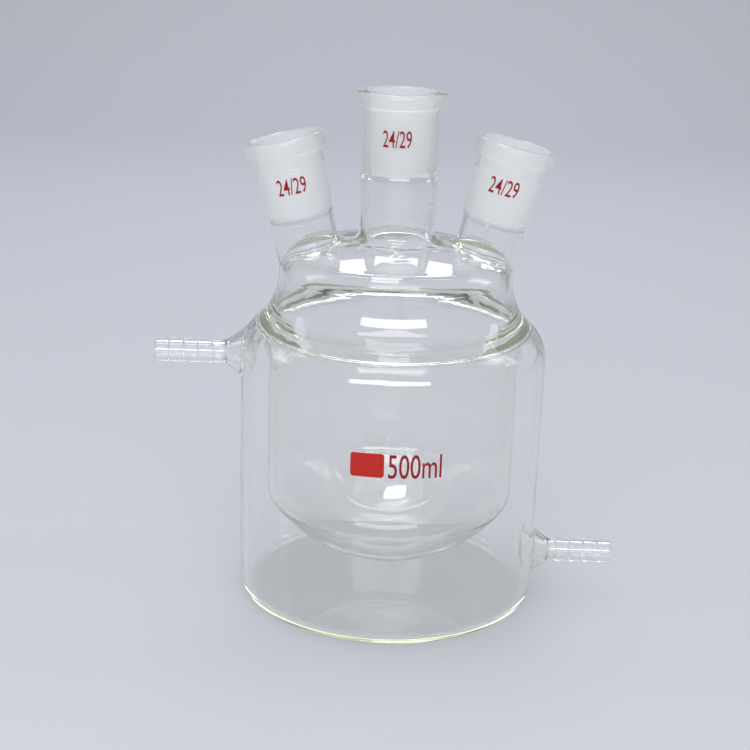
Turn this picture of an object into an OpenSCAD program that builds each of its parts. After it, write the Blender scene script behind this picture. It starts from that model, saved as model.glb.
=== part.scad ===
// Jacketed three-neck reaction flask, blown in one piece of borosilicate glass.
// Units mm. +Z up, stands on z = 0 with its own axis on Z. The side necks lean
// to +X and -X and the hose connections point along +X and -X.

/* [Joints] */
// Width of the ground socket at its mouth
joint_mouth = 24; // [18:0.5:26]
// Length of the ground zone
joint_length = 29; // [20:0.5:33]
// Bevel at the mouth of each socket
mouth_bevel = 0.8; // [0.3:0.1:1.2]

/* [Centre neck] */
// Height of the whole flask, to the top of the centre rim
flask_height = 197; // [188:1:220]
// Width of the centre rim
centre_rim_od = 33.4; // [31:0.2:38]
// Height of the centre rim
centre_rim_height = 5.5; // [4:0.1:8]
// Width of the centre socket's body below the rim
centre_joint_od = 28.2; // [27.6:0.1:30]
// Width of the clear tube below the centre socket
centre_tube_od = 28.8; // [28:0.1:31]
// Glass thickness of the clear centre tube
centre_tube_wall = 2.3; // [1.6:0.1:2.8]
// Radius where the centre tube flares into the dome
centre_flare = 3.5; // [2:0.5:6]

/* [Side necks] */
// Lean of each side neck from upright
side_tilt = 13; // [11:0.5:16]
// Distance of a side rim's centre from the flask's axis
side_spread = 43; // [41.5:0.5:48]
// Height of a side rim's centre
side_rim_height_z = 179; // [172:1:186]
// Width of a side rim
side_rim_od = 30.6; // [29.6:0.2:34]
// Height of a side rim
side_rim_height = 6; // [4:0.1:8]
// Width of a side socket's body just below the rim
side_joint_od = 26.4; // [26:0.1:28]
// Width of the clear tube below a side socket
side_tube_od = 24; // [23.6:0.1:26]
// Radius where a side tube flares into the dome
side_flare = 3.5; // [3:0.5:7]

/* [Inner vessel] */
// Width of the vessel inside the jacket
vessel_od = 95.8; // [93:0.2:98]
// Glass thickness of the vessel
vessel_wall = 2.4; // [1.8:0.1:2.8]
// Height of the dome's crown
dome_height = 142.4; // [139:0.2:146]
// Width of the vessel at its waist above the jacket
waist_od = 88.4; // [87:0.2:91]
// Radius of the dome's shoulder
dome_shoulder = 9; // [7:0.5:11]
// Height of the vessel's lowest point above the table
vessel_lift = 15.6; // [13.6:0.2:20]
// Radius of the vessel's round bottom
bottom_radius = 57; // [54:0.5:66]
// Radius between the round bottom and the wall
bottom_corner = 13; // [9:0.5:18]

/* [Jacket] */
// Width of the jacket
jacket_od = 116.6; // [114:0.2:122]
// Glass thickness of the jacket
jacket_wall = 2.8; // [2.2:0.1:3]
// Glass thickness of the flat base
base_thickness = 3; // [2.4:0.1:4]
// Outer radius round the base
base_corner = 7; // [5:0.5:7.5]
// Radius of the jacket's shoulder
jacket_shoulder = 15; // [13:0.5:16]
// Radius of the hollow sweep from the shoulder up to the waist
seam_sweep = 26; // [23:0.5:32]

/* [Hose connections] */
// Bore of both hose connections
hose_bore = 6; // [5:0.1:6.4]
// Width over the barbs
hose_barb_od = 9.6; // [9:0.1:10.4]
// Width between the barbs
hose_tube_od = 8.6; // [8.2:0.1:9]
// Number of barbs on each hose connection
hose_barbs = 4; // [2:1:4]
// Distance from barb to barb
hose_pitch = 5.5; // [4:0.1:5.8]
// Width of the cone where a hose connection is sealed to the jacket
hose_root_od = 18; // [15:0.5:19]
// Height of the upper hose connection
upper_hose_z = 95.5; // [60:0.5:96.5]
// Reach of the upper hose connection from the flask's axis
upper_hose_reach = 91.5; // [88:0.5:110]
// Height of the lower hose connection
lower_hose_z = 17; // [16.5:0.5:40]
// Reach of the lower hose connection from the flask's axis
lower_hose_reach = 89.5; // [88:0.5:110]

/* [Part] */
// Which node to draw

/* [Hidden] */
$fn = 96;

glass = [0.80, 0.88, 0.86, 0.35];

// The side axes meet the flask's axis here. The dome is part of a ball about
// this point, so each neck stands square on it.
cross_z = side_rim_height_z - side_spread / tan(side_tilt);
ball = [0, cross_z];
ball_r = dome_height - cross_z;
side_length = side_spread / sin(side_tilt);

// Outline of the flask from table to neck: jacket wall, shoulder, hollow
// sweep, waist, dome shoulder and dome, each tangent to the next.
jr = jacket_od / 2;
wr = waist_od / 2;
vr = vessel_od / 2;
dome_c = [wr - dome_shoulder,
          cross_z + sqrt(pow(ball_r - dome_shoulder, 2) - pow(wr - dome_shoulder, 2))];
sweep_c = [wr + seam_sweep, dome_c.y];
shoulder_c = [jr - jacket_shoulder,
              dome_c.y - sqrt(pow(seam_sweep + jacket_shoulder, 2)
                              - pow(sweep_c.x - jr + jacket_shoulder, 2))];

// Vessel's inner wall comes back to full width below the seam
seam_back = 12;
back_c = [vr - vessel_wall - seam_back,
          dome_c.y - sqrt(pow(seam_sweep + vessel_wall + seam_back, 2)
                          - pow(sweep_c.x - vr + vessel_wall + seam_back, 2))];

// Vessel's bottom
bottom_c = [0, vessel_lift + bottom_radius];
corner_c = [vr - bottom_corner,
            bottom_c.y - sqrt(pow(bottom_radius - bottom_corner, 2)
                              - pow(vr - bottom_corner, 2))];

// Ring seal: the jacket's inner wall closes on the vessel in a round groove
seal_r = 2.2;
seal_c = [vr + seal_r,
          shoulder_c.y + sqrt(pow(jacket_shoulder - jacket_wall - seal_r, 2)
                              - pow(vr + seal_r - shoulder_c.x, 2))];
floor_corner = 4;

// Sockets narrow by 1 in 10
joint_end = joint_mouth - joint_length / 10;
rim_round = 1.4;

// A side neck's flare runs this far under the surfaces of dome, tube and waist
flare_sink = 0.3;

// A side neck's tube runs this far below the dome's surface, into the wall
neck_run = 12;

// A side bore runs this far below the dome's inner surface, clear of its shoulder
bore_run = 22;

function unit(v) = v / norm(v);
// Point where a circle of radius r about c meets the line from a through c
function beyond(a, c, r) = c + r * unit(c - a);
// Centre of a flare of radius f round a tube of radius t on a ball of radius r
function flare_c(t, f, r) = [t + f, sqrt(pow(r + f, 2) - pow(t + f, 2))];

// Points in n even steps on the circle about c, after p and up to q
function arc_points(c, p, q, n) = let (u = p - c, v = q - c, a = atan2(u.y, u.x),
        d = atan2(u.x * v.y - u.y * v.x, u.x * v.x + u.y * v.y))
    [for (i = [1 : n]) c + norm(u) * [cos(a + d * i / n), sin(a + d * i / n)]];

// Turns its child about the axis, starting clear of the necks and hoses
module turned() {
    rotate([0, 0, 90]) rotate_extrude() children();
}

// Round swelling from p to q over the chord between them, centred on c
module bulge(c, r, p, q, k = 0.8) {
    a = unit(p - c);
    b = unit(q - c);
    intersection() {
        translate(c) circle(r);
        polygon([c + k * r * a, c + 1.6 * r * a, c + 1.6 * r * b, c + k * r * b]);
    }
}

// Round hollow from p to q, centred on c outside the outline
module scoop(c, r, p, q) {
    a = unit(p - c);
    b = unit(q - c);
    intersection() {
        translate(c) circle(r);
        polygon([c, c + 1.6 * r * a, c + 1.6 * r * b]);
    }
}

// Outside of a ground socket, from its clear tube up to its rim at height top.
// The body is as wide as br under the rim and er where the ground zone ends.
function socket_points(top, rim_h, rr, br, er, tr) = [
    [tr, top - joint_length - 2], [er, top - joint_length - 0.8],
    [br, top - rim_h - rim_round], [br + rim_round, top - rim_h],
    [rr - rim_round, top - rim_h], [rr, top - rim_h + rim_round],
    [rr, top - rim_round], [rr - rim_round, top], [0, top]];

module rim_bulges(top, rim_h, rr) {
    e = rim_round;
    bulge([rr - e, top - rim_h + e], e, [rr - e, top - rim_h], [rr, top - rim_h + e]);
    bulge([rr - e, top - e], e, [rr, top - e], [rr - e, top]);
}

module rim_scoop(top, rim_h, br) {
    e = rim_round;
    scoop([br + e, top - rim_h - e], e, [br, top - rim_h - e], [br + e, top - rim_h]);
}

// Bore of a ground socket from a tube of radius b up through its mouth
function bore_points(top, b) = [
    [b, top - joint_length - 1.6 * abs(b - joint_end / 2) - 0.5],
    [joint_end / 2, top - joint_length],
    [joint_mouth / 2 - mouth_bevel / 10, top - mouth_bevel],
    [joint_mouth / 2 + mouth_bevel, top], [joint_mouth / 2 + mouth_bevel, top + 1],
    [0, top + 1]];

// Solid outline of jacket, waist, dome and centre neck
module body_outline() {
    base_c = [jr - base_corner, base_corner];
    sweep_p = beyond(sweep_c, shoulder_c, -jacket_shoulder);
    dome_p = beyond(ball, dome_c, dome_shoulder);
    tube_r = centre_tube_od / 2;
    body_r = centre_joint_od / 2;
    rim_r = centre_rim_od / 2;
    flare = ball + flare_c(tube_r, centre_flare, ball_r);
    crown_p = ball + ball_r * unit(flare - ball);
    difference() {
        union() {
            polygon(concat(
                [[0, 0], [base_c.x, 0], [jr, base_c.y], [jr, shoulder_c.y], sweep_p,
                 [wr, dome_c.y], dome_p, crown_p, [tube_r, flare.y]],
                socket_points(flask_height, centre_rim_height, rim_r, body_r, body_r, tube_r)));
            bulge(base_c, base_corner, [base_c.x, 0], [jr, base_c.y]);
            bulge(shoulder_c, jacket_shoulder, [jr, shoulder_c.y], sweep_p);
            bulge(dome_c, dome_shoulder, [wr, dome_c.y], dome_p);
            bulge(ball, ball_r, dome_p, crown_p, 0.9);
            rim_bulges(flask_height, centre_rim_height, rim_r);
        }
        scoop(sweep_c, seam_sweep, sweep_p, [wr, dome_c.y]);
        scoop(flare, centre_flare, crown_p, [tube_r, flare.y]);
        rim_scoop(flask_height, centre_rim_height, body_r);
    }
}

// Hollow of the vessel and of the centre neck. Its shoulder and dome, where the
// side bores break through, are runs of short cones.
module vessel_hollow() {
    w = vessel_wall;
    r = vr - w;
    low = [0, vessel_lift + w];
    corner_p = beyond(bottom_c, corner_c, bottom_corner - w);
    back_p = beyond(sweep_c, back_c, -seam_back);
    waist_p = [wr - w, dome_c.y];
    dome_p = beyond(ball, dome_c, dome_shoulder - w);
    tube_r = centre_tube_od / 2 - centre_tube_wall;
    f = centre_flare + w;
    flare = ball + flare_c(tube_r, f, ball_r - w);
    crown_p = ball + (ball_r - w) * unit(flare - ball);
    difference() {
        union() {
            polygon(concat(
                [low, corner_p, [r, corner_c.y], [r, back_c.y], back_p, waist_p],
                arc_points(dome_c, waist_p, dome_p, 6),
                arc_points(ball, dome_p, crown_p, 4),
                [[tube_r, flare.y]],
                bore_points(flask_height, tube_r)));
            bulge(bottom_c, bottom_radius - w, low, corner_p);
            bulge(corner_c, bottom_corner - w, corner_p, [r, corner_c.y]);
            bulge(back_c, seam_back, [r, back_c.y], back_p);
        }
        scoop(sweep_c, seam_sweep + w, back_p, waist_p);
        scoop(flare, f, crown_p, [tube_r, flare.y]);
    }
}

// Outside of the vessel below the seam
module vessel_skin() {
    low = [0, vessel_lift];
    corner_p = beyond(bottom_c, corner_c, bottom_corner);
    union() {
        polygon([low, corner_p, [vr, corner_c.y], [vr, seal_c.y + 5], [0, seal_c.y + 5]]);
        bulge(bottom_c, bottom_radius, low, corner_p);
        bulge(corner_c, bottom_corner, corner_p, [vr, corner_c.y]);
    }
}

// Space between jacket and vessel
module jacket_space() {
    r = jr - jacket_wall;
    floor_c = [r - floor_corner, base_thickness + floor_corner];
    arc = jacket_shoulder - jacket_wall;
    seal_p = beyond(shoulder_c, seal_c, seal_r);
    difference() {
        union() {
            polygon([[0, base_thickness], [floor_c.x, base_thickness], [r, floor_c.y],
                     [r, shoulder_c.y], seal_p, [seal_c.x, seal_c.y + seal_r],
                     [vr, seal_c.y], [0, seal_c.y]]);
            bulge(floor_c, floor_corner, [floor_c.x, base_thickness], [r, floor_c.y]);
            bulge(shoulder_c, arc, [r, shoulder_c.y], seal_p);
            bulge(seal_c, seal_r, seal_p, [seal_c.x, seal_c.y + seal_r]);
            bulge(seal_c, seal_r, [seal_c.x, seal_c.y + seal_r], [vr, seal_c.y]);
        }
        vessel_skin();
    }
}

// Places its child on a side neck's axis, side = 1 for +X and -1 for -X
module on_side(side) {
    translate([0, 0, cross_z]) rotate([0, side * side_tilt, 0]) children();
}

// Outside of a side neck: its socket, and its clear tube down into the vessel's wall
module side_neck(side) {
    t = side_tube_od / 2;
    b = side_joint_od / 2;
    rim_r = side_rim_od / 2;
    foot = ball_r - neck_run;
    on_side(side) turned() difference() {
        union() {
            polygon(concat([[0, foot], [t, foot]],
                           socket_points(side_length, side_rim_height, rim_r, b, t + 0.3, t)));
            rim_bulges(side_length, side_rim_height, rim_r);
        }
        rim_scoop(side_length, side_rim_height, b);
    }
}

// Flare of a side neck on the dome. It dies away where the tube runs down into
// the waist, so it keeps inside the waist's width.
module side_flares(side) {
    t = side_tube_od / 2 - flare_sink;
    r = ball_r - flare_sink;
    c = flare_c(t, side_flare, r);
    p = r * unit(c);
    intersection() {
        on_side(side) turned() difference() {
            polygon([[0, r - neck_run], [p.x, r - neck_run], p, [t, c.y], [0, c.y]]);
            scoop(c, side_flare, p, [t, c.y]);
        }
        cylinder(r = wr - flare_sink, h = flask_height);
    }
}

// Bore of a side neck, from its socket down into the vessel
module side_bore(side) {
    t = joint_end / 2;
    foot = ball_r - vessel_wall - bore_run;
    on_side(side) turned()
        polygon(concat([[0, foot], [t, foot]], bore_points(side_length, t)));
}

// Hose connection along its own axis, tip at height reach. Its cone is sealed
// to the jacket, 1.32 long for each 1 that it widens.
module hose_outline(reach) {
    t = hose_tube_od / 2;
    b = hose_barb_od / 2;
    n = hose_barbs;
    f = 4;
    sink = 4.8;
    root = hose_root_od / 2;
    top = jr + 1.32 * (root - t);
    c = [t + f, top + f * 0.478];
    difference() {
        union() {
            polygon([[0, jr - sink], [root + sink / 1.32, jr - sink], [t, top],
                     [t, reach - n * hose_pitch], [0, reach - n * hose_pitch]]);
            for (i = [0 : n - 1])
                polygon([[0, reach - (i + 1) * hose_pitch], [b, reach - (i + 1) * hose_pitch],
                         [t - 0.1, reach - i * hose_pitch], [0, reach - i * hose_pitch]]);
        }
        scoop(c, f, c + f * unit([-1.32, -1]), [t, c.y]);
    }
}

module hose_hollow(reach) {
    b = hose_bore / 2;
    top = jr + 1.32 * (hose_root_od - hose_tube_od) / 2 - 1.8;
    foot = jr - jacket_wall - 3;
    polygon([[0, foot], [b + (top - foot) / 1.5, foot], [b, top], [b, reach + 1],
             [0, reach + 1]]);
}

// Places its child on a hose connection's axis, side = 1 for +X and -1 for -X
module on_hose(side, z) {
    translate([0, 0, z]) rotate([0, side * 90, 0]) children();
}

module flask() {
    color(glass) difference() {
        union() {
            turned() body_outline();
            side_neck(1);
            side_neck(-1);
            side_flares(1);
            side_flares(-1);
            on_hose(-1, upper_hose_z) rotate_extrude() hose_outline(upper_hose_reach);
            on_hose(1, lower_hose_z) rotate_extrude() hose_outline(lower_hose_reach);
        }
        turned() vessel_hollow();
        turned() jacket_space();
        side_bore(1);
        side_bore(-1);
        on_hose(-1, upper_hose_z) rotate_extrude() hose_hollow(upper_hose_reach);
        on_hose(1, lower_hose_z) rotate_extrude() hose_hollow(lower_hose_reach);
    }
}

flask();
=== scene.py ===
import math

import bmesh
import bpy
import numpy as np
from mathutils import Matrix, Vector
from mathutils.geometry import delaunay_2d_cdt


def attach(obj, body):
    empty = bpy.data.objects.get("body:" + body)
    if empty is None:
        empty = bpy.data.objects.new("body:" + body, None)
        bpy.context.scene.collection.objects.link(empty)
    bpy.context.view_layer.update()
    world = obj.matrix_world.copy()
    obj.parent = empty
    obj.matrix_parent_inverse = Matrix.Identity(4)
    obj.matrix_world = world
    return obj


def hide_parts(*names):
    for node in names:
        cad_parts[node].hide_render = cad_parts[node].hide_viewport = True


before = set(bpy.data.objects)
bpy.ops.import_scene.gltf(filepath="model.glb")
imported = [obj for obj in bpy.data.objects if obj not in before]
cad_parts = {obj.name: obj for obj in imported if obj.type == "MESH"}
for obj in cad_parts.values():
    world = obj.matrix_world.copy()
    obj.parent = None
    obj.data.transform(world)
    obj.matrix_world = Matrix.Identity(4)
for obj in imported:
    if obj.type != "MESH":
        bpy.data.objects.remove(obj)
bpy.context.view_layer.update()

MM = 0.001

# ---------------------------------------------------------------- sizes, in mm
# The flask's sizes, the same as in its solid.
JOINT_MOUTH, JOINT_LENGTH, MOUTH_BEVEL = 24.0, 29.0, 0.8
HEIGHT = 197.0
CENTRE = dict(rim_od=33.4, rim_h=5.5, joint_od=28.2, tube_od=28.8, wall=2.3, flare=3.5)
SIDE = dict(tilt=13.0, spread=43.0, top_z=179.0, rim_od=30.6, rim_h=6.0, joint_od=26.4,
            tube_od=24.0, flare=3.5)
VESSEL_OD, VESSEL_WALL, DOME_Z, WAIST_OD, DOME_SHOULDER = 95.8, 2.4, 142.4, 88.4, 9.0
VESSEL_LIFT, BOTTOM_R, BOTTOM_CORNER = 15.6, 57.0, 13.0
JACKET_OD, JACKET_WALL, BASE, BASE_CORNER = 116.6, 2.8, 3.0, 7.0
JACKET_SHOULDER, SWEEP = 15.0, 26.0
HOSE = dict(bore=6.0, barb_od=9.6, tube_od=8.6, barbs=4, pitch=5.5, root_od=18.0)
UPPER_HOSE_Z, UPPER_HOSE_REACH = 95.5, 91.5
LOWER_HOSE_Z, LOWER_HOSE_REACH = 17.0, 89.5
SEAM_BACK, SEAL_R, FLOOR_CORNER, RIM_ROUND = 12.0, 2.2, 4.0, 1.4

# Lips and ends of the sockets
LIP_FLAT, END_SLOPE, END_LENGTH = 0.4, 2.0, 4.0
SIDE_SWELL = 0.3               # how much wider a side neck's ground part starts than its tube

# Hose connections: cones at the root, outside and in the bore
HOSE_DEPTH, HOSE_SLOPE = 4.8, 1.32
BORE_BACK, BORE_DEPTH, BORE_SLOPE = 1.8, 3.0, 1.5

# Rounding of the glass where a bore breaks through, and of the barbs
INNER_EDGE, HOSE_FILLET, HOSE_EDGE, BARB_ROUND = 2.0, 2.5, 0.8, 0.35

# How finely the surfaces are drawn
TURNS, NECK_TURNS, HOSE_TURNS = 150, 96, 64
STEP = 3.0                     # the longest stretch of an outline
NEAREST = 0.55                 # points of a turned surface stay this far from a hole's edge

# Where the joints of the glass are looked for, from the ball of the dome or the jacket
NECK_ABOVE, NECK_BELOW, TUBE_START, BORE_STOP = 9.0, 26.0, 7.0, 5.0
HOSE_BEYOND, HOSE_BORE_BEYOND = 9.0, 8.0

JOINT_END = JOINT_MOUTH - JOINT_LENGTH / 10
TILT = math.radians(SIDE["tilt"])
CROSS_Z = SIDE["top_z"] - SIDE["spread"] / math.tan(TILT)
SIDE_LENGTH = SIDE["spread"] / math.sin(TILT)
BALL = np.array([0.0, CROSS_Z])
BALL_R = DOME_Z - CROSS_Z


# ------------------------------------------------------------------- outlines
def point(x, y):
    return np.array([x, y], float)


def unit(v):
    return v / np.linalg.norm(v)


def arc(c, p, q, step=4.0):
    """Points from p to q on the circle about c, a step of so many degrees apart."""
    a, b = p - c, q - c
    start = math.atan2(a[1], a[0])
    sweep = math.atan2(a[0] * b[1] - a[1] * b[0], a @ b)
    n = max(3, int(abs(math.degrees(sweep)) / step) + 1)
    return [c + np.linalg.norm(a) * np.array([math.cos(start + sweep * k / n),
                                              math.sin(start + sweep * k / n)])
            for k in range(n + 1)]


def rounded(corners, n=6):
    """A line through (x, y, radius) corners, each rounded by its radius."""
    out = []
    for i, (x, y, r) in enumerate(corners):
        p = point(x, y)
        if r <= 0 or i in (0, len(corners) - 1):
            out.append(p)
            continue
        a = unit(point(*corners[i - 1][:2]) - p)
        b = unit(point(*corners[i + 1][:2]) - p)
        half = math.acos(max(-1.0, min(1.0, float(a @ b)))) / 2
        reach = r / math.tan(half)
        if reach < 1e-3:
            out.append(p)
            continue
        c = p + unit(a + b) * r / math.sin(half)
        out += arc(c, p + a * reach, p + b * reach, math.degrees(math.pi - 2 * half) / n)
    return out


def joined(*runs):
    """One line from several, without repeated points and with no stretch longer than STEP."""
    line = [q for run in runs for q in run]
    out = [line[0]]
    for q in line[1:]:
        gap = np.linalg.norm(q - out[-1])
        if gap < 1e-4:
            continue
        n = max(1, math.ceil(gap / STEP))
        out += [out[-1] + (q - out[-1]) * k / n for k in range(1, n)] + [q]
    return np.array(out)


def socket_outside(top, s, tube_r, end_r):
    """Outside of a socket, from its tube up to the middle of its lip."""
    rim, body = s["rim_od"] / 2, s["joint_od"] / 2
    return rounded([
        (tube_r, top - JOINT_LENGTH - END_LENGTH, 0),
        (tube_r, top - JOINT_LENGTH - END_SLOPE, 1.5),
        (end_r, top - JOINT_LENGTH - 0.8, 1.0), (body, top - s["rim_h"], RIM_ROUND),
        (rim, top - s["rim_h"], RIM_ROUND), (rim, top, RIM_ROUND),
        (JOINT_MOUTH / 2 + MOUTH_BEVEL + LIP_FLAT, top, 0)])


def socket_inside(top, tube_r):
    """Bore of a socket, from its lip down into its tube."""
    mouth, end = JOINT_MOUTH / 2, JOINT_END / 2
    drop = 1.6 * abs(tube_r - end) + 0.5
    return rounded([
        (mouth + MOUTH_BEVEL + LIP_FLAT, top, 0), (mouth + MOUTH_BEVEL, top, 0.3),
        (mouth - MOUTH_BEVEL / 10, top - MOUTH_BEVEL, 0.3),
        (end, top - JOINT_LENGTH, 0.4), (tube_r, top - JOINT_LENGTH - drop, 0.8),
        (tube_r, top - JOINT_LENGTH - drop - 3, 0)])


def tangent_c(t, f, r):
    """Centre of a flare of radius f between a tube of radius t and the ball of radius r."""
    return BALL + np.array([t + f, math.sqrt((r + f) ** 2 - (t + f) ** 2)])


def body_outline():
    """The glass from the base's centre, over the outside, the centre neck's lip and the
    inside, to the vessel's lowest point. Also the number of points on the outside."""
    jr, wr, vr, w = JACKET_OD / 2, WAIST_OD / 2, VESSEL_OD / 2, VESSEL_WALL
    dome_c = point(wr - DOME_SHOULDER,
                   CROSS_Z + math.sqrt((BALL_R - DOME_SHOULDER) ** 2 - (wr - DOME_SHOULDER) ** 2))
    sweep_c = point(wr + SWEEP, dome_c[1])
    shoulder_c = point(jr - JACKET_SHOULDER, dome_c[1] - math.sqrt(
        (SWEEP + JACKET_SHOULDER) ** 2 - (sweep_c[0] - jr + JACKET_SHOULDER) ** 2))
    back_x = vr - w - SEAM_BACK
    back_c = point(back_x, dome_c[1] - math.sqrt((SWEEP + w + SEAM_BACK) ** 2
                                                 - (sweep_c[0] - back_x) ** 2))
    bottom_c = point(0, VESSEL_LIFT + BOTTOM_R)
    corner_c = point(vr - BOTTOM_CORNER, bottom_c[1] - math.sqrt(
        (BOTTOM_R - BOTTOM_CORNER) ** 2 - (vr - BOTTOM_CORNER) ** 2))
    places = dict(dome_c=dome_c, sweep_c=sweep_c, shoulder_c=shoulder_c,
                  bottom_c=bottom_c, corner_c=corner_c)

    # outside
    sweep_p = shoulder_c + JACKET_SHOULDER * unit(sweep_c - shoulder_c)
    dome_p = dome_c + DOME_SHOULDER * unit(dome_c - BALL)
    tube = CENTRE["tube_od"] / 2
    flare_c = tangent_c(tube, CENTRE["flare"], BALL_R)
    crown_p = BALL + BALL_R * unit(flare_c - BALL)
    base_c = point(jr - BASE_CORNER, BASE_CORNER)
    outside = joined(
        [point(0, 0)], arc(base_c, base_c - [0, BASE_CORNER], base_c + [BASE_CORNER, 0], 6),
        arc(shoulder_c, shoulder_c + [JACKET_SHOULDER, 0], sweep_p),
        arc(sweep_c, sweep_p, point(wr, dome_c[1])),
        arc(dome_c, point(wr, dome_c[1]), dome_p, 7),
        arc(BALL, dome_p, crown_p, 0.6),
        arc(flare_c, crown_p, point(tube, flare_c[1]), 9),
        socket_outside(HEIGHT, CENTRE, tube, CENTRE["joint_od"] / 2))

    # inside
    bore = tube - CENTRE["wall"]
    inner_flare_c = tangent_c(bore, CENTRE["flare"] + w, BALL_R - w)
    inner_crown = BALL + (BALL_R - w) * unit(inner_flare_c - BALL)
    inner_dome = dome_c + (DOME_SHOULDER - w) * unit(dome_c - BALL)
    back_p = back_c + SEAM_BACK * unit(sweep_c - back_c)
    corner_p = corner_c + (BOTTOM_CORNER - w) * unit(corner_c - bottom_c)
    inside = joined(
        socket_inside(HEIGHT, bore),
        arc(inner_flare_c, point(bore, inner_flare_c[1]), inner_crown, 9),
        arc(BALL, inner_crown, inner_dome, 0.6),
        arc(dome_c, inner_dome, point(wr - w, dome_c[1]), 9),
        arc(sweep_c, point(wr - w, dome_c[1]), back_p),
        arc(back_c, back_p, point(vr - w, back_c[1]), 8),
        arc(corner_c, point(vr - w, corner_c[1]), corner_p, 8),
        arc(bottom_c, corner_p, point(0, VESSEL_LIFT + w), 2.5))
    return np.vstack([outside, inside[1:]]), len(outside), places


def jacket_outline(places):
    """The jacket's space, from the vessel's lowest point round to the floor's centre."""
    vr, jr = VESSEL_OD / 2, JACKET_OD / 2 - JACKET_WALL
    shoulder_c, bottom_c, corner_c = (places[k] for k in ("shoulder_c", "bottom_c", "corner_c"))
    corner_p = corner_c + BOTTOM_CORNER * unit(corner_c - bottom_c)
    ring = JACKET_SHOULDER - JACKET_WALL
    seal_c = point(vr + SEAL_R, shoulder_c[1] + math.sqrt(
        (ring - SEAL_R) ** 2 - (vr + SEAL_R - shoulder_c[0]) ** 2))
    seal_p = seal_c + SEAL_R * unit(seal_c - shoulder_c)
    top = seal_c + [0, SEAL_R]
    floor_c = point(jr - FLOOR_CORNER, BASE + FLOOR_CORNER)
    return joined(
        arc(bottom_c, point(0, VESSEL_LIFT), corner_p, 2.5),
        arc(corner_c, corner_p, point(vr, corner_c[1]), 8),
        arc(seal_c, point(vr, seal_c[1]), top, 15), arc(seal_c, top, seal_p, 15),
        arc(shoulder_c, seal_p, shoulder_c + [ring, 0], 5),
        arc(floor_c, floor_c + [FLOOR_CORNER, 0], floor_c - [0, FLOOR_CORNER], 12),
        [point(0, BASE)])


def hose_outline(reach):
    """Outside and bore of a hose connection as (radius, distance from the flask's axis)."""
    t, b, bore = HOSE["tube_od"] / 2, HOSE["barb_od"] / 2, HOSE["bore"] / 2
    root = HOSE["root_od"] / 2
    jr = JACKET_OD / 2
    foot = jr - HOSE_DEPTH
    top = jr + HOSE_SLOPE * (root - t)
    corners = [(root + (jr - foot) / HOSE_SLOPE, foot, 0), (t, top, 4.0)]
    for i in range(HOSE["barbs"]):
        start = reach - (HOSE["barbs"] - i) * HOSE["pitch"]
        corners += [(t if i == 0 else t - 0.1, start, BARB_ROUND), (b, start, BARB_ROUND)]
    corners += [(t - 0.1, reach, 0.5), (bore, reach, 0.5)]
    inner_top, inner_foot = top - BORE_BACK, jr - JACKET_WALL - BORE_DEPTH
    corners += [(bore, inner_top, 3.0),
                (bore + (inner_top - inner_foot) / BORE_SLOPE, inner_foot, 0)]
    return corners


# ------------------------------------------------------------ turned surfaces
class Turned:
    """A surface turned about Z from an outline whose right-hand side is out of the glass."""

    def __init__(self, line):
        self.line = line
        step = np.diff(line, axis=0)
        size = np.linalg.norm(step, axis=1)
        self.along = np.concatenate([[0], np.cumsum(size)])
        out = np.stack([step[:, 1], -step[:, 0]], 1) / size[:, None]
        corner = np.vstack([out[:1], out[:-1] + out[1:], out[-1:]])
        self.out = corner / np.linalg.norm(corner, axis=1)[:, None]

    def nearest(self, points, part):
        """Each point's foot on a part of the outline: foot, normal, place along it, and
        distance, above 0 out of the glass."""
        lo, hi = part
        a, b = self.line[lo:hi - 1], self.line[lo + 1:hi]
        q = np.stack([np.hypot(points[:, 0], points[:, 1]), points[:, 2]], 1)
        d = b - a
        t = np.einsum("mkj,kj->mk", q[:, None] - a[None], d) / (d * d).sum(1)
        t = np.clip(t, 0, 1)
        gap = q[:, None] - (a[None] + t[..., None] * d[None])
        k = np.argmin((gap ** 2).sum(2), axis=1)
        rows = np.arange(len(q))
        t = t[rows, k][:, None]
        foot = a[k] + t * d[k]
        normal = (1 - t) * self.out[lo + k] + t * self.out[lo + k + 1]
        normal /= np.linalg.norm(normal, axis=1)[:, None]
        along = self.along[lo + k] + t[:, 0] * (self.along[lo + k + 1] - self.along[lo + k])
        return foot, normal, along, np.einsum("ij,ij->i", q - foot, normal)

    def pull(self, points, part):
        """The points moved onto the surface, with their normals and (angle, along) places."""
        foot, normal, along, _ = self.nearest(points, part)
        turn = np.arctan2(points[:, 1], points[:, 0])
        c, s = np.cos(turn), np.sin(turn)
        on = np.stack([foot[:, 0] * c, foot[:, 0] * s, foot[:, 1]], 1)
        out = np.stack([normal[:, 0] * c, normal[:, 0] * s, normal[:, 1]], 1)
        return on, out, np.stack([turn, along], 1)


class Axis:
    """A neck's or hose connection's own axis, with its angles counted from its out side."""

    def __init__(self, origin, along, out):
        self.origin, self.along, self.out = map(np.array, (origin, along, out))
        self.side = np.cross(self.along, self.out)

    def ring(self, n):
        a = np.arange(n) * 2 * math.pi / n
        return np.cos(a)[:, None] * self.out + np.sin(a)[:, None] * self.side

    def at(self, n, radius, height):
        return self.origin + self.ring(n) * radius + self.along * height


def side_axis(side):
    s, c = math.sin(TILT), math.cos(TILT)
    return Axis((0.0, 0.0, CROSS_Z), (side * s, 0.0, c), (side * c, 0.0, -s))


def hose_axis(side, z):
    return Axis((0.0, 0.0, z), (float(side), 0.0, 0.0), (0.0, 0.0, 1.0))


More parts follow.
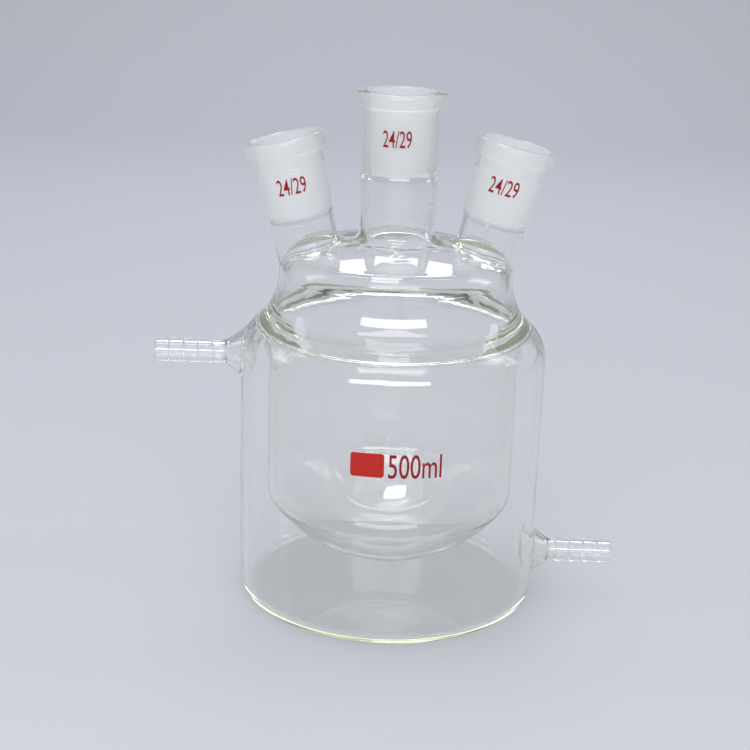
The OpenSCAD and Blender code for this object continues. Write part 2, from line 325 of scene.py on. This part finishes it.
def junction(axis, n, upper, lower, turned, part, entering, fillet, rows=5):
    """Where the cone between two (radius, height) places of an outline meets a turned
    surface. Gives the fillet's rows, from the one on the turned surface to the one on the
    cone, with the first row's normals and places. entering is 1 where the cone runs down
    into the glass and -1 where it runs down out of it."""
    ring = axis.ring(n)
    (r1, h1), (r0, h0) = upper, lower

    def on_cone(t):
        r, h = r1 + (r0 - r1) * t, h1 + (h0 - h1) * t
        return axis.origin + ring * r[:, None] + axis.along * h[:, None]

    steps = np.linspace(0, 1, 161)
    lo, hi = np.zeros(n), np.ones(n)
    found = np.zeros(n, bool)
    for a, b in zip(steps[:-1], steps[1:]):
        d = turned.nearest(on_cone(np.full(n, b)), part)[3] * entering
        new = ~found & (d <= 0)
        lo[new], hi[new] = a, b
        found |= new
    assert found.all(), "a neck misses the surface it stands on"
    for _ in range(26):
        mid = (lo + hi) / 2
        inside = turned.nearest(on_cone(mid), part)[3] * entering <= 0
        hi, lo = np.where(inside, mid, hi), np.where(inside, lo, mid)
    corner = on_cone((lo + hi) / 2)
    down = ring * (r0 - r1) + axis.along * (h0 - h1)
    down /= np.linalg.norm(down, axis=1)[:, None]
    normal = turned.pull(corner, part)[1]
    across = np.cross(np.broadcast_to(axis.along, ring.shape), ring)
    away = np.cross(normal, across)
    away /= np.linalg.norm(away, axis=1)[:, None]
    away *= np.sign((away * (ring + 0.6 * down)).sum(1))[:, None]
    turn = np.arccos(np.clip((down * away).sum(1), -1, 1))
    reach = (fillet * np.tan(turn / 2))[:, None]
    top = corner - down * reach
    first, first_out, places = turned.pull(corner + away * reach, part)
    t = np.linspace(0, 1, rows + 1)[:, None, None]
    curve = (1 - t) ** 2 * first + 2 * t * (1 - t) * corner + t ** 2 * top
    return list(curve), first_out, places


# ------------------------------------------------------------------- the mesh
# How far and how much the glass ripples at the necks' feet, and at the ring seal
SEAL_REACH, SEAL_RIPPLE = 7.0, 0.55
RING_SEAL_Z, RING_RIPPLE = 109.0, 0.35


def ripples(points, feet):
    """How much the glass ripples at each point, near the necks' feet and the ring seal."""
    gap = np.full(len(points), np.inf)
    for foot in feet:
        for q in foot[::2]:
            gap = np.minimum(gap, ((points - q) ** 2).sum(1))
    near_foot = SEAL_RIPPLE * np.exp(-gap / SEAL_REACH ** 2)
    out = np.hypot(points[:, 0], points[:, 1]) > WAIST_OD / 2
    near_ring = RING_RIPPLE * out * np.exp(-((points[:, 2] - RING_SEAL_Z) / SEAL_REACH) ** 2)
    return np.maximum(near_foot, near_ring)


class Builder:
    """Collects points, their normals, how ground they are, and faces."""

    def __init__(self):
        self.points, self.normals, self.ground, self.faces = [], [], [], []
        self.count = 0

    def add(self, points, normals, ground=None):
        first = self.count
        self.points.append(np.asarray(points, float))
        self.normals.append(np.asarray(normals, float))
        self.ground.append(np.zeros(len(points)) if ground is None else ground)
        self.count += len(points)
        return first

    def strip(self, a, b, n):
        """Quads between two closed rows of n points each."""
        self.faces += [(a + j, a + (j + 1) % n, b + (j + 1) % n, b + j) for j in range(n)]


def inside(points, edges):
    """Which (u, v) points lie inside the closed outline that the edges make."""
    u, v = points[:, 0][:, None], points[:, 1][:, None]
    (u0, v0), (u1, v1) = edges[:, 0].T, edges[:, 1].T
    crosses = (v0 > v) != (v1 > v)
    with np.errstate(divide="ignore", invalid="ignore"):
        at = u0 + (v - v0) * (u1 - u0) / (v1 - v0)
    return (crosses & (u < at)).sum(1) % 2 == 1


def add_turned(builder, turned, ground, holes):
    """Adds a turned surface with holes in it. Each hole is (first index of its ring, its
    angle and along places)."""
    line, n = turned.line, TURNS
    inner = line[1:-1]
    rows = len(inner)
    turn = np.arange(n) * 2 * math.pi / n
    c, s = np.cos(turn), np.sin(turn)
    grid = np.stack([inner[:, :1] * c, inner[:, :1] * s,
                     np.repeat(inner[:, 1:], n, axis=1)], 2).reshape(-1, 3)
    o = turned.out[1:-1]
    out = np.stack([o[:, :1] * c, o[:, :1] * s, np.repeat(o[:, 1:], n, axis=1)], 2).reshape(-1, 3)
    first = builder.add(grid, out, np.repeat(ground[1:-1], n))
    along = turned.along[1:-1]
    gone = np.zeros((rows - 1, n), bool)
    for ring_first, places in holes:
        m = len(places)
        centre = math.atan2(np.sin(places[:, 0]).mean(), np.cos(places[:, 0]).mean())
        mean_v = places[:, 1].mean()
        scale = max(8.0, float(np.interp(mean_v, turned.along, line[:, 0])))

        def flat(angle, v):
            return np.stack([((angle - centre + math.pi) % (2 * math.pi) - math.pi) * scale, v], -1)

        ring = flat(places[:, 0], places[:, 1])
        ring_edges = np.stack([ring, np.roll(ring, -1, axis=0)], 1)
        all_uv = flat(np.broadcast_to(turn, (rows, n)), np.repeat(along[:, None], n, 1))
        low, high = ring.min(0) - 3, ring.max(0) + 3
        near = ((all_uv > low) & (all_uv < high)).all(2)
        jj, kk = np.nonzero(near)
        uv = all_uv[jj, kk]
        a, b = ring_edges[:, 0], ring_edges[:, 1]
        d = b - a
        t = np.clip(np.einsum("mkj,kj->mk", uv[:, None] - a, d) / (d * d).sum(1), 0, 1)
        gap = np.sqrt(((uv[:, None] - a - t[..., None] * d) ** 2).sum(2).min(1))
        bad = inside(uv, ring_edges) | (gap < NEAREST)
        dead = np.zeros((rows, n), bool)
        dead[jj[bad], kk[bad]] = True
        cut = dead[:-1] | dead[1:] | np.roll(dead, -1, 1)[:-1] | np.roll(dead, -1, 1)[1:]
        cut &= ~gone
        gone |= cut
        # the rim of the cut: edges between a cut quad and a kept one
        edges = []
        for j, k in zip(*np.nonzero(cut)):
            k1 = (k + 1) % n
            for dj, dk, ends in ((-1, 0, ((j, k), (j, k1))), (1, 0, ((j + 1, k1), (j + 1, k))),
                                 (0, -1, ((j + 1, k), (j, k))), (0, 1, ((j, k1), (j + 1, k1)))):
                jn, kn = j + dj, (k + dk) % n
                if not (0 <= jn < rows - 1) or not cut[jn, kn]:
                    edges.append(ends)
        names = {}
        for pair in edges:
            for v in pair:
                names.setdefault(v, len(names))
        rim = list(names)
        rim_uv = np.array([all_uv[v] for v in rim])
        coords = [Vector(p) for p in np.vstack([rim_uv, ring])]
        k0 = len(rim)
        rim_e = [(names[a], names[b]) for a, b in edges]
        ring_e = [(k0 + i, k0 + (i + 1) % m) for i in range(m)]
        verts, _, tris, origin, _, _ = delaunay_2d_cdt(coords, rim_e + ring_e, [], 0, 1e-7)
        assert len(verts) == len(coords), "a hole's outline crosses itself"
        back = [o[0] for o in origin]
        ids = [first + j * n + k for j, k in rim] + [ring_first + i for i in range(m)]
        centres = np.array([sum((verts[i] for i in f), Vector((0, 0))) / len(f) for f in tris])
        rim_segments = np.array([[rim_uv[names[a]], rim_uv[names[b]]] for a, b in edges])
        keep = inside(centres, rim_segments) & ~inside(centres, ring_edges)
        builder.faces += [tuple(ids[back[i]] for i in f) for f, ok in zip(tris, keep) if ok]
    for j in range(rows - 1):
        a, b = first + j * n, first + (j + 1) * n
        builder.faces += [(a + k, a + (k + 1) % n, b + (k + 1) % n, b + k)
                          for k in range(n) if not gone[j, k]]
    ends = [(line[0], turned.out[0], 0), (line[-1], turned.out[-1], rows - 1)]
    for tip, normal, row in ends:
        pole = builder.add([[0, 0, tip[1]]], [[0, 0, math.copysign(1, normal[1])]])
        a = first + row * n
        builder.faces += [(pole, a + k, a + (k + 1) % n) for k in range(n)]


def add_sheet(builder, rows, n, ends_out, ground):
    """Adds a tube of closed rows. ends_out are the first and last rows' normals."""
    stack = np.array(rows)
    around = np.roll(stack, -1, 1) - np.roll(stack, 1, 1)
    normal = np.cross(around, np.gradient(stack, axis=0))
    normal /= np.maximum(np.linalg.norm(normal, axis=2), 1e-9)[..., None]
    normal[0], normal[-1] = ends_out
    first = builder.add(stack.reshape(-1, 3), normal.reshape(-1, 3), np.repeat(ground, n))
    for k in range(len(rows) - 1):
        builder.strip(first + k * n, first + (k + 1) * n, n)
    return first, first + (len(rows) - 1) * n


def add_neck(builder, side, body, outside, inside_part):
    """One side neck, from its flare on the dome over its lip and down into the vessel."""
    axis, n = side_axis(side), NECK_TURNS
    tube, bore = SIDE["tube_od"] / 2, JOINT_END / 2
    low, high = BALL_R - NECK_BELOW, BALL_R + NECK_ABOVE
    foot, foot_out, foot_at = junction(axis, n, (tube, high), (tube, low), body, outside, 1,
                                       SIDE["flare"])
    exit_, exit_out, exit_at = junction(axis, n, (bore, high), (bore, low), body, inside_part,
                                        -1, INNER_EDGE)
    line = joined(socket_outside(SIDE_LENGTH, SIDE, tube, tube + SIDE_SWELL),
                  socket_inside(SIDE_LENGTH, bore))
    line = np.vstack([[tube, BALL_R + TUBE_START], line, [bore, BALL_R + BORE_STOP]])
    rows = foot + [axis.at(n, r, h) for r, h in line] + exit_[::-1]
    ground = [0.0] * len(foot) + [grounding(r, h, SIDE_LENGTH) for r, h in line] \
        + [0.0] * len(exit_)
    a, b = add_sheet(builder, rows, n, (foot_out, exit_out), ground)
    return (a, foot_at), (b, exit_at)


def add_hose(builder, side, z, reach, body, outside, jacket, space):
    """One hose connection, from its cone on the jacket over its tip and down its bore."""
    axis, n = hose_axis(side, z), HOSE_TURNS
    corners = hose_outline(reach)
    (root_r, root_h, _), (mouth_r, mouth_h, _) = corners[0], corners[-1]
    root = root_r + HOSE_BEYOND / HOSE_SLOPE, root_h - HOSE_BEYOND
    mouth = mouth_r + HOSE_BORE_BEYOND / BORE_SLOPE, mouth_h - HOSE_BORE_BEYOND
    foot, foot_out, foot_at = junction(axis, n, corners[1][:2], root, body, outside, 1,
                                       HOSE_FILLET)
    exit_, exit_out, exit_at = junction(axis, n, corners[-2][:2], mouth, jacket, space, -1,
                                        HOSE_EDGE)
    line = joined(rounded(corners)[1:-1])
    rows = foot + [axis.at(n, r, h) for r, h in line] + exit_[::-1]
    a, b = add_sheet(builder, rows, n, (foot_out, exit_out), [0.0] * len(rows))
    return (a, foot_at), (b, exit_at)


def grounding(r, h, top):
    """1 on a socket's ground bore and 0 elsewhere."""
    on_bore = r < JOINT_MOUTH / 2 + MOUTH_BEVEL + 0.2
    return float(on_bore and top - JOINT_LENGTH - 0.3 < h < top - MOUTH_BEVEL / 2)


def flask_mesh():
    """The whole flask as one closed mesh, with its normals and its ground and seal shares."""
    line, outside_count, places = body_outline()
    body, jacket = Turned(line), Turned(jacket_outline(places))
    outside, within = (0, outside_count), (outside_count, len(line))
    space = (0, len(jacket.line))
    builder = Builder()
    body_holes, jacket_holes = [], []
    for side in (1, -1):
        body_holes += add_neck(builder, side, body, outside, within)
    for side, z, reach in ((-1, UPPER_HOSE_Z, UPPER_HOSE_REACH),
                           (1, LOWER_HOSE_Z, LOWER_HOSE_REACH)):
        on_body, on_jacket = add_hose(builder, side, z, reach, body, outside, jacket, space)
        body_holes.append(on_body)
        jacket_holes.append(on_jacket)
    body_ground = np.array([grounding(r, z, HEIGHT) if i >= outside_count - 2 else 0.0
                            for i, (r, z) in enumerate(line)])
    add_turned(builder, body, body_ground, body_holes)
    add_turned(builder, jacket, np.zeros(len(jacket.line)), jacket_holes)

    points = np.vstack(builder.points)
    mesh = bpy.data.meshes.new("flask_glass")
    mesh.from_pydata(points * MM, [], builder.faces)
    bm = bmesh.new()
    bm.from_mesh(mesh)
    bmesh.ops.recalc_face_normals(bm, faces=bm.faces)
    if bm.calc_volume(signed=True) < 0:
        bmesh.ops.reverse_faces(bm, faces=bm.faces)
    bm.to_mesh(mesh)
    bm.free()
    mesh.shade_smooth()
    set_normals(mesh, np.vstack(builder.normals))
    ground = mesh.attributes.new("ground", "FLOAT", "POINT")
    ground.data.foreach_set("value", np.concatenate(builder.ground))
    feet = [points[first:first + len(places)] for first, places in body_holes[:4]]
    feet.append(Axis((0, 0, 0), (0, 0, 1), (1, 0, 0)).at(48, CENTRE["tube_od"] / 2 + 2, DOME_Z))
    seal = mesh.attributes.new("seal", "FLOAT", "POINT")
    seal.data.foreach_set("value", ripples(points, feet))
    return mesh


def set_normals(mesh, normals):
    """Gives the mesh its outlines' own normals, except where they don't fit its faces."""
    plain = np.empty(len(mesh.vertices) * 3)
    mesh.vertices.foreach_get("normal", plain)
    plain = plain.reshape(-1, 3)
    agree = (normals * plain).sum(1)
    normals[agree < 0] *= -1
    poor = np.abs(agree) < 0.6
    normals[poor] = plain[poor]
    mesh.normals_split_custom_set_from_vertices(normals)


# ------------------------------------------------------------------ materials
def new_material(name):
    mat = bpy.data.materials.new(name)
    mat.use_nodes = True
    nodes, links = mat.node_tree.nodes, mat.node_tree.links
    return mat, nodes, links, nodes["Principled BSDF"]


def noise_node(nodes, links, coords, scale, detail):
    noise = nodes.new("ShaderNodeTexNoise")
    noise.inputs["Scale"].default_value = scale
    noise.inputs["Detail"].default_value = detail
    links.new(coords.outputs["Object"], noise.inputs["Vector"])
    return noise


def larger(nodes, links, a, b):
    node = nodes.new("ShaderNodeMath")
    node.operation = "MAXIMUM"
    links.new(a, node.inputs[0])
    links.new(b, node.inputs[1])
    return node.outputs[0]


def switched(nodes, links, fac, plain, other):
    """The plain shader where fac is 0, and the other where it is 1."""
    node = nodes.new("ShaderNodeMixShader")
    links.new(fac, node.inputs["Fac"])
    links.new(plain, node.inputs[1])
    links.new(other, node.inputs[2])
    return node.outputs["Shader"]


def glass_material():
    """Borosilicate glass: clear, faintly green through its depth, and ground in the sockets."""
    mat, nodes, links, bsdf = new_material("borosilicate_glass")
    bsdf.inputs["Base Color"].default_value = (1, 1, 1, 1)
    bsdf.inputs["IOR"].default_value = 1.473
    bsdf.inputs["Transmission Weight"].default_value = 1.0

    ground = nodes.new("ShaderNodeAttribute")
    ground.attribute_name = "ground"
    coords = nodes.new("ShaderNodeTexCoord")
    grain = noise_node(nodes, links, coords, 2600.0, 3.0)
    cloudy = nodes.new("ShaderNodeMapRange")
    cloudy.inputs["To Min"].default_value = 0.46
    cloudy.inputs["To Max"].default_value = 0.66
    links.new(grain.outputs["Fac"], cloudy.inputs["Value"])
    rough = nodes.new("ShaderNodeMath")
    rough.operation = "MULTIPLY"
    links.new(cloudy.outputs["Result"], rough.inputs[0])
    links.new(ground.outputs["Fac"], rough.inputs[1])
    links.new(rough.outputs[0], bsdf.inputs["Roughness"])

    # hand-blown walls aren't quite even, least of all where parts are sealed together
    wave = noise_node(nodes, links, coords, 38.0, 1.5)
    bump = nodes.new("ShaderNodeBump")
    bump.inputs["Strength"].default_value = 0.10
    bump.inputs["Distance"].default_value = 0.0009
    links.new(wave.outputs["Fac"], bump.inputs["Height"])
    seal = nodes.new("ShaderNodeAttribute")
    seal.attribute_name = "seal"
    ripple = noise_node(nodes, links, coords, 60.0, 1.0)
    ripple.inputs["Distortion"].default_value = 0.6
    worked = nodes.new("ShaderNodeBump")
    worked.inputs["Distance"].default_value = 0.0030
    links.new(ripple.outputs["Fac"], worked.inputs["Height"])
    links.new(seal.outputs["Fac"], worked.inputs["Strength"])
    links.new(bump.outputs["Normal"], worked.inputs["Normal"])
    links.new(worked.outputs["Normal"], bsdf.inputs["Normal"])

    # a ground face scatters as a white body too
    through = nodes.new("ShaderNodeBsdfTranslucent")
    through.inputs["Color"].default_value = (0.93, 0.94, 0.95, 1)
    scatter = nodes.new("ShaderNodeBsdfDiffuse")
    scatter.inputs["Color"].default_value = (0.93, 0.94, 0.95, 1)
    milk = nodes.new("ShaderNodeMixShader")
    milk.inputs["Fac"].default_value = 0.5
    links.new(through.outputs["BSDF"], milk.inputs[1])
    links.new(scatter.outputs["BSDF"], milk.inputs[2])
    haze = nodes.new("ShaderNodeMath")
    haze.operation = "MULTIPLY"
    haze.inputs[1].default_value = 0.72
    links.new(ground.outputs["Fac"], haze.inputs[0])
    frosted = switched(nodes, links, haze.outputs[0], bsdf.outputs["BSDF"],
                       milk.outputs["Shader"])

    # light passes the walls straight on its way to the floor, and less of it where a wall is
    # met edge on; a ray that has been reflected often inside the glass gets straight out of it
    path = nodes.new("ShaderNodeLightPath")
    edge = nodes.new("ShaderNodeLayerWeight")
    edge.inputs["Blend"].default_value = 0.20
    tint = nodes.new("ShaderNodeValToRGB")
    tint.color_ramp.elements[0].color = (0.975, 0.98, 0.977, 1)
    tint.color_ramp.elements[1].color = (0.72, 0.735, 0.73, 1)
    links.new(edge.outputs["Facing"], tint.inputs["Fac"])
    clear = nodes.new("ShaderNodeBsdfTransparent")
    links.new(tint.outputs["Color"], clear.inputs["Color"])
    green = nodes.new("ShaderNodeBsdfTransparent")
    green.inputs["Color"].default_value = (0.88, 0.893, 0.85, 1)

    def beyond(depth, most):
        node = nodes.new("ShaderNodeMath")
        node.operation = "GREATER_THAN"
        node.inputs[1].default_value = most
        links.new(path.outputs[depth], node.inputs[0])
        return node.outputs[0]

    deep = larger(nodes, links, beyond("Ray Depth", 9.5), beyond("Glossy Depth", 3.5))
    lit = larger(nodes, links, path.outputs["Is Shadow Ray"], path.outputs["Is Diffuse Ray"])
    seen = switched(nodes, links, deep, frosted, green.outputs["BSDF"])
    output = nodes["Material Output"]
    links.new(switched(nodes, links, lit, seen, clear.outputs["BSDF"]), output.inputs["Surface"])

    tinted = nodes.new("ShaderNodeVolumeAbsorption")
    tinted.inputs["Color"].default_value = (0.80, 0.87, 0.62, 1)
    tinted.inputs["Density"].default_value = 11.0
    links.new(tinted.outputs["Volume"], output.inputs["Volume"])
    return mat


def print_material(name, thin, thick):
    """Fired-on ceramic print, slightly uneven and half matt."""
    mat, nodes, links, bsdf = new_material(name)
    coords = nodes.new("ShaderNodeTexCoord")
    noise = noise_node(nodes, links, coords, 900.0, 4.0)
    ramp = nodes.new("ShaderNodeValToRGB")
    ramp.color_ramp.elements[0].color = (*thin, 1)
    ramp.color_ramp.elements[1].color = (*thick, 1)
    links.new(noise.outputs["Fac"], ramp.inputs["Fac"])
    links.new(ramp.outputs["Color"], bsdf.inputs["Base Color"])
    bsdf.inputs["Roughness"].default_value = 0.50
    bsdf.inputs["Specular IOR Level"].default_value = 0.20
    return mat


def backdrop_material():
    """Seamless studio paper."""
    mat, nodes, links, bsdf = new_material("studio_paper")
    coords = nodes.new("ShaderNodeTexCoord")
    fibre = noise_node(nodes, links, coords, 420.0, 5.0)
    bump = nodes.new("ShaderNodeBump")
    bump.inputs["Strength"].default_value = 0.05
    bump.inputs["Distance"].default_value = 0.0002
    links.new(fibre.outputs["Fac"], bump.inputs["Height"])
    links.new(bump.outputs["Normal"], bsdf.inputs["Normal"])
    bsdf.inputs["Base Color"].default_value = (0.65, 0.66, 0.72, 1)
    bsdf.inputs["Roughness"].default_value = 0.85
    bsdf.inputs["Specular IOR Level"].default_value = 0.2
    return mat


# --------------------------------------------------------------- printed marks
PRINT_GAP = 0.06   # how far the print lies off the glass
MARK_STEP = 1.0    # how finely a mark is cut to bend with the glass


def show(mesh, name):
    obj = bpy.data.objects.new(name, mesh)
    bpy.context.scene.collection.objects.link(obj)
    return obj


def flat_text(words, width, height):
    """Plain lettering as a flat mesh, width by height in mm, about its middle."""
    curve = bpy.data.curves.new("mark_curve", "FONT")
    curve.body = words
    curve.align_x, curve.align_y = "LEFT", "BOTTOM"
    curve.resolution_u = 6
    curve.offset = 0.004  # a little bolder than the plain font
    obj = show(curve, "mark_curve")
    depsgraph = bpy.context.evaluated_depsgraph_get()
    mesh = bpy.data.meshes.new_from_object(obj.evaluated_get(depsgraph))
    bpy.data.objects.remove(obj)
    bpy.data.curves.remove(curve)
    xyz = np.empty(len(mesh.vertices) * 3)
    mesh.vertices.foreach_get("co", xyz)
    xyz = xyz.reshape(-1, 3)
    low, high = xyz.min(0), xyz.max(0)
    xyz[:, 0] = ((xyz[:, 0] - low[0]) / (high[0] - low[0]) - 0.5) * width
    xyz[:, 1] = ((xyz[:, 1] - low[1]) / (high[1] - low[1]) - 0.5) * height
    mesh.vertices.foreach_set("co", xyz.ravel())
    return mesh


def flat_block(width, height, corner):
    """A plain block with rounded corners as a flat mesh, in mm, about its middle."""
    w, h = width / 2, height / 2
    turns = [(w - corner, h - corner, 0), (corner - w, h - corner, 90),
             (corner - w, corner - h, 180), (w - corner, corner - h, 270)]
    rim = [(x + corner * math.cos(math.radians(a + d)),
            y + corner * math.sin(math.radians(a + d)), 0)
           for x, y, a in turns for d in range(0, 91, 15)]
    mesh = bpy.data.meshes.new("mark_block")
    mesh.from_pydata(rim, [], [tuple(range(len(rim)))])
    return mesh


def fitted(mesh, place):
    """Cuts a flat mark finely and bends it onto the glass. place turns (x, y) into a point."""
    bm = bmesh.new()
    bm.from_mesh(mesh)
    bmesh.ops.triangulate(bm, faces=bm.faces)
    for axis in (0, 1):
        values = [v.co[axis] for v in bm.verts]
        for cut in np.arange(math.floor(min(values)), max(values), MARK_STEP):
            normal = [0, 0, 0]
            normal[axis] = 1
            bmesh.ops.bisect_plane(bm, geom=bm.verts[:] + bm.edges[:] + bm.faces[:],
                                   plane_co=[c * float(cut) for c in normal], plane_no=normal)
    for v in bm.verts:
        v.co = Vector(place(v.co.x, v.co.y)) * MM
    bmesh.ops.recalc_face_normals(bm, faces=bm.faces)
    bmesh.ops.remove_doubles(bm, verts=bm.verts, dist=1e-7)
    bm.to_mesh(mesh)
    bm.free()
    mesh.shade_smooth()
    return mesh


def on_upright(width, turn, z):
    """Places a mark on an upright round wall of a width, its middle turned from -Y towards +X."""
    r = width / 2 + PRINT_GAP

    def place(x, y):
        a = math.radians(turn) + x / r
        return r * math.sin(a), -r * math.cos(a), z + y
    return place


def on_side_neck(side, down, turn=0.0):
    """Places a mark on a side neck, its middle so far down from the rim's top."""
    top, tube = SIDE["joint_od"] / 2, SIDE["tube_od"] / 2 + SIDE_SWELL
    s, c = math.sin(TILT) * side, math.cos(TILT)

    def place(x, y):
        h = SIDE_LENGTH - down + y
        share = (SIDE_LENGTH - h - SIDE["rim_h"]) / (JOINT_LENGTH - SIDE["rim_h"])
        r = top + (tube - top) * min(max(share, 0), 1) + PRINT_GAP
        a = math.radians(turn) + x / r
        across, front = r * math.sin(a), -r * math.cos(a)
        return c * across + s * h, front, CROSS_Z + c * h - s * across
    return place


def add_marks(red, crimson):
    """A size on each neck, and a bare block and a volume on the jacket."""
    marks = [
        ("mark_centre_size", flat_text("24/29", 10.7, 6.2),
         on_upright(CENTRE["joint_od"], -5.5, 181.2)),
        ("mark_left_size", flat_text("24/29", 11.0, 6.1), on_side_neck(-1, 16.8)),
        ("mark_right_size", flat_text("24/29", 11.2, 6.1), on_side_neck(1, 15.0, -7.0)),
        ("mark_block", flat_block(12.2, 9.0, 1.1), on_upright(JACKET_OD, -8.4, 72.5)),
        ("mark_volume", flat_text("500ml", 19.4, 9.1), on_upright(JACKET_OD, 8.5, 72.3)),
    ]
    for name, flat, place in marks:
        piece = show(fitted(flat, place), name)
        piece.data.materials.clear()
        piece.data.materials.append(red if name == "mark_block" else crimson)
        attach(piece, "root")


# ---------------------------------------------------------------------- studio
FLOOR_Z = -0.0002  # just under the glass, so that the two surfaces don't coincide


def add_backdrop():
    """Floor and wall in one sweep of paper."""
    width, front, back, bend, top = 3.0, -1.4, 1.1, 0.5, 2.2
    line = [(front, FLOOR_Z), (back, FLOOR_Z)]
    line += [(back + bend * math.sin(math.radians(a)),
              FLOOR_Z + bend - bend * math.cos(math.radians(a))) for a in range(6, 91, 6)]
    line += [(back + bend, top)]
    verts = [(x, y, z) for y, z in line for x in (-width / 2, width / 2)]
    faces = [(2 * i, 2 * i + 1, 2 * i + 3, 2 * i + 2) for i in range(len(line) - 1)]
    mesh = bpy.data.meshes.new("studio_floor")
    mesh.from_pydata(verts, [], faces)
    mesh.shade_smooth()
    mesh.materials.append(backdrop_material())
    floor = show(mesh, "studio_floor")


def add_light(name, place, target, size, power):
    light = bpy.data.lights.new(name, "AREA")
    light.shape = "RECTANGLE"
    light.size, light.size_y = size
    light.energy = power
    obj = show(light, name)
    obj.location = place
    obj.rotation_euler = (Vector(target) - Vector(place)).to_track_quat("-Z", "Y").to_euler()


def add_pale_room(tree, lamp):
    """The room is as pale as the floor where it is seen, and its light on the scene dimmer."""
    nodes, links = tree.nodes, tree.links
    seen = nodes.new("ShaderNodeBackground")
    seen.inputs["Color"].default_value = (0.92, 0.94, 1.0, 1)
    seen.inputs["Strength"].default_value = 0.62
    path = nodes.new("ShaderNodeLightPath")
    fac = path.outputs["Is Camera Ray"]
    for ray in ("Is Transmission Ray", "Is Glossy Ray"):
        fac = larger(nodes, links, fac, path.outputs[ray])
    links.new(switched(nodes, links, fac, lamp.outputs["Background"], seen.outputs["Background"]),
              nodes["World Output"].inputs["Surface"])


def add_studio():
    add_backdrop()
    add_light("key_softbox", (-0.02, -0.66, 1.02), (0, 0, 0.10), (0.80, 0.30), 2.5)
    add_light("front_panel", (-0.02, -1.00, 0.46), (0, 0, 0.16), (1.20, 0.24), 5.6)
    add_light("top_softbox", (-0.10, 0.02, 1.25), (0, 0, 0.05), (0.30, 0.30), 2.6)
    add_light("back_softbox", (0.02, 1.02, 0.96), (0, 0, 0.13), (0.60, 0.26), 2.0)
    add_light("left_softbox", (-1.1, 0.15, 0.75), (0, 0, 0.08), (0.20, 0.7), 0.9)
    add_light("right_softbox", (1.1, 0.25, 0.75), (0, 0, 0.08), (0.20, 0.7), 1.2)
    add_light("wall_wash", (0, 0.75, 1.9), (0, 1.6, 0.8), (1.8, 0.3), 9.0)
    world = bpy.data.worlds.new("studio_room")
    bpy.context.scene.world = world
    world.use_nodes = True
    back = world.node_tree.nodes["Background"]
    back.inputs["Color"].default_value = (0.90, 0.93, 1.0, 1)
    back.inputs["Strength"].default_value = 0.27
    add_pale_room(world.node_tree, back)
    bpy.context.scene.view_settings.view_transform = "Standard"


def add_camera():
    """A view from 568 mm in front and 268 mm up, looking 17.6 degrees down."""
    image, focus, sensor = 750, 1541.56, 36.0   # pixels, pixels and mm
    place, down, roll = (-6.69, -568.18, 268.43), 0.3080, 0.0316   # mm and radians
    cam = bpy.data.cameras.new("camera")
    cam.sensor_width = sensor
    cam.lens = sensor * focus / image
    obj = show(cam, "camera")
    obj.matrix_world = (Matrix.Translation([c * MM for c in place])
                        @ Matrix.Rotation(math.pi / 2 - down, 4, "X")
                        @ Matrix.Rotation(roll, 4, "Z"))
    bpy.context.scene.camera = obj


def add_flask():
    flask = show(flask_mesh(), "flask_glass")
    flask.data.materials.append(glass_material())
    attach(flask, "root")
    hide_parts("flask")


add_camera()
add_studio()
add_flask()
add_marks(print_material("red_print", (0.44, 0.018, 0.014), (0.56, 0.030, 0.022)),
          print_material("crimson_print", (0.25, 0.006, 0.012), (0.34, 0.012, 0.020)))
